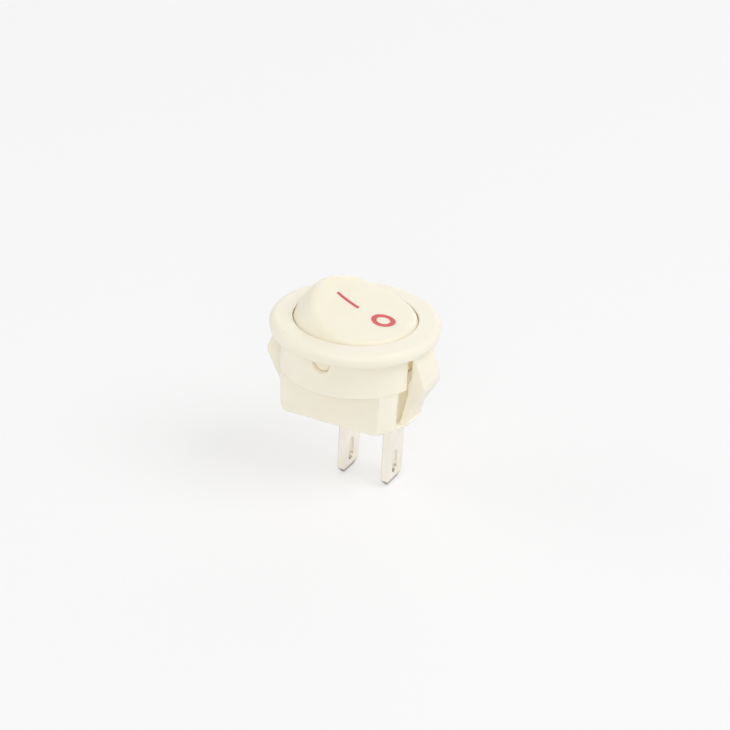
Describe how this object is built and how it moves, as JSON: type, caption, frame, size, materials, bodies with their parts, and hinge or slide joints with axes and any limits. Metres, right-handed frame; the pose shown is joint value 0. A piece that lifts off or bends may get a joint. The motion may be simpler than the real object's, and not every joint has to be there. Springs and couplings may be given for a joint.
{
  "type": "panel rocker switch",
  "caption": "Round snap-in panel rocker switch with a dished see-saw rocker, sprung wings and blade tabs.",
  "frame": {"origin": "centre of the bezel's underside, on the panel's face, on the barrel's axis", "axes": "+Z out of the panel towards the user, Y along the rocker's pivot, I at -X and O at +X"},
  "size_m": [0.0234, 0.023, 0.027],
  "materials": {
    "ivory_plastic": "satin moulded",
    "ivory_rocker": "satin moulded",
    "natural_plastic": "moulded acetal",
    "spring_steel": "drawn wire",
    "copper": "stamped copper",
    "silver_contact": "silver rivet",
    "tinned_brass": "tinned"
  },
  "bodies": {
    "base": {"housing": "ivory_plastic", "common_terminal": "tinned_brass", "line_terminal": "tinned_brass", "fixed_contact": "silver_contact"},
    "rocker": {"rocker": "ivory_rocker", "spring": "spring_steel"},
    "plunger": {"plunger": "natural_plastic"},
    "contact_arm": {"contact_arm": "copper", "moving_contact": "silver_contact"}
  },
  "joints": [
    {"name": "rocker_rock", "type": "hinge", "parent": "base", "child": "rocker", "pos_m": [0, 0, -0.00084], "axis": [0, 1, 0], "range_deg": [-31.2, 0]},
    {"name": "plunger_slide", "type": "slide", "parent": "rocker", "child": "plunger", "axis": [-0.2689, 0, -0.9632], "range_m": [-0.0006, 0.00013], "stiffness_N_per_m": 400, "springref_m": 0.002, "deforming": ["spring"]},
    {"name": "arm_tilt", "type": "hinge", "parent": "base", "child": "contact_arm", "pos_m": [0, 0, -0.008], "axis": [0, 1, 0], "range_deg": [0, 16]}
  ],
  "couplings": [
    {"joint": "arm_tilt", "follows": "rocker_rock", "ratio": -0.51282}
  ]
}
